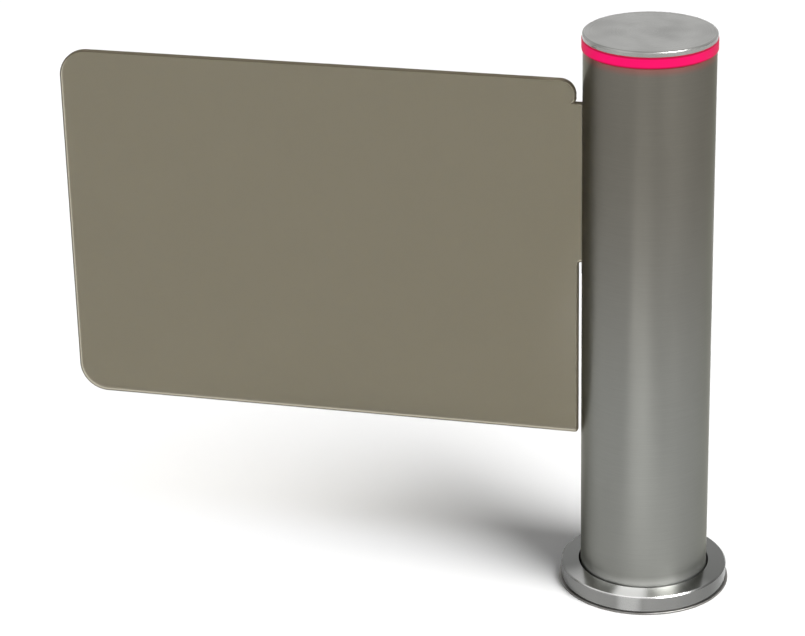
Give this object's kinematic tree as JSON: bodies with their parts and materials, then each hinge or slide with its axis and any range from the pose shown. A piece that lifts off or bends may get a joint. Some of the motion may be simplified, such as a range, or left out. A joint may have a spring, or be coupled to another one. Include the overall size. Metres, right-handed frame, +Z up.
{
  "type": "swing barrier gate",
  "caption": "Round steel gate post on a base ring, with a lit ring under its cap and a large tinted clear wing that swings a quarter turn each way.",
  "frame": {"origin": "on the floor, on the post's axis, at the middle of the base plate's underside", "axes": "+Z up along the post; the closed wing points along -X; +Y is behind the closed wing"},
  "size_m": [1.1735, 0.2944, 0.9965],
  "materials": {
    "brushed_steel": "brushed stainless steel",
    "polished_steel": "polished stainless steel",
    "satin_steel": "fine satin stainless steel",
    "plain_steel": "zinc-plated steel",
    "bearing_steel": "ground bearing steel",
    "fastener_steel": "plated fasteners",
    "cast_aluminium": "cast aluminium",
    "motor_paint": "black paint",
    "black_rubber": "black rubber",
    "white_nylon": "natural nylon",
    "grey_plastic": "grey moulded plastic",
    "board_green": "circuit board",
    "bronze_sheet": "clear acrylic sheet with a bronze tint",
    "red_diffuser": "lit translucent red plastic"
  },
  "bodies": {
    "root": {"base_plate": "plain_steel", "base_cover": "polished_steel", "cable_grommet": "black_rubber", "mast": "plain_steel", "mast_bolt_1": "fastener_steel", "mast_bolt_2": "fastener_steel", "mast_bolt_3": "fastener_steel", "mast_bolt_4": "fastener_steel", "mast_nut": "fastener_steel", "lower_inner_race": "bearing_steel", "upper_inner_race": "bearing_steel", "position_sensor": "grey_plastic", "motor_bracket": "plain_steel", "gearbox": "cast_aluminium", "gearbox_screw_1": "fastener_steel", "gearbox_screw_2": "fastener_steel", "gearbox_screw_3": "fastener_steel", "motor": "motor_paint", "motor_brake": "motor_paint", "motor_cable": "black_rubber", "stop_block_left": "plain_steel", "stop_block_right": "plain_steel", "stop_buffer_left": "black_rubber", "stop_buffer_right": "black_rubber", "box_bracket": "plain_steel", "control_box": "grey_plastic", "control_lid": "grey_plastic", "circuit_board": "board_green", "lamp_cable": "black_rubber", "top_plate": "cast_aluminium", "lamp_carrier": "cast_aluminium", "lamp_strip": "white_nylon", "lamp_driver": "board_green", "light_ring": "red_diffuser", "top_cap": "satin_steel"},
    "wing": {"post_tube": "brushed_steel", "slot_trim": "black_rubber", "wing_panel": "bronze_sheet", "clamp_pad": "black_rubber", "clamp_cheek_front": "plain_steel", "clamp_cheek_rear": "plain_steel", "clamp_bolt_1": "fastener_steel", "clamp_bolt_2": "fastener_steel", "clamp_bolt_3": "fastener_steel", "panel_bush_1": "white_nylon", "panel_bush_2": "white_nylon", "panel_bush_3": "white_nylon", "lower_hub": "plain_steel", "upper_hub": "plain_steel", "lower_outer_race": "bearing_steel", "upper_outer_race": "bearing_steel", "ring_gear": "plain_steel", "gear_screw_1": "fastener_steel", "gear_screw_2": "fastener_steel", "gear_screw_3": "fastener_steel", "sensor_vane": "plain_steel"},
    "pinion": {"pinion": "plain_steel", "drive_shaft": "bearing_steel"},
    "lower_cage": {"lower_ball_cage": "bearing_steel"},
    "upper_cage": {"upper_ball_cage": "bearing_steel"}
  },
  "joints": [
    {"name": "wing_swing", "type": "hinge", "parent": "root", "child": "wing", "pos_m": [0, 0, 0], "axis": [0, 0, 1], "range_deg": [-90, 90]},
    {"name": "pinion_spin", "type": "hinge", "parent": "root", "child": "pinion", "pos_m": [0.075, 0, 0], "axis": [0, 0, 1], "range_deg": [-360, 360]},
    {"name": "lower_cage_spin", "type": "hinge", "parent": "root", "child": "lower_cage", "pos_m": [0, 0, 0], "axis": [0, 0, 1], "range_deg": [-48, 48]},
    {"name": "upper_cage_spin", "type": "hinge", "parent": "root", "child": "upper_cage", "pos_m": [0, 0, 0], "axis": [0, 0, 1], "range_deg": [-48, 48]}
  ],
  "couplings": [
    {"joint": "pinion_spin", "follows": "wing_swing", "ratio": -4},
    {"joint": "lower_cage_spin", "follows": "wing_swing", "ratio": 0.525},
    {"joint": "upper_cage_spin", "follows": "wing_swing", "ratio": 0.525}
  ]
}
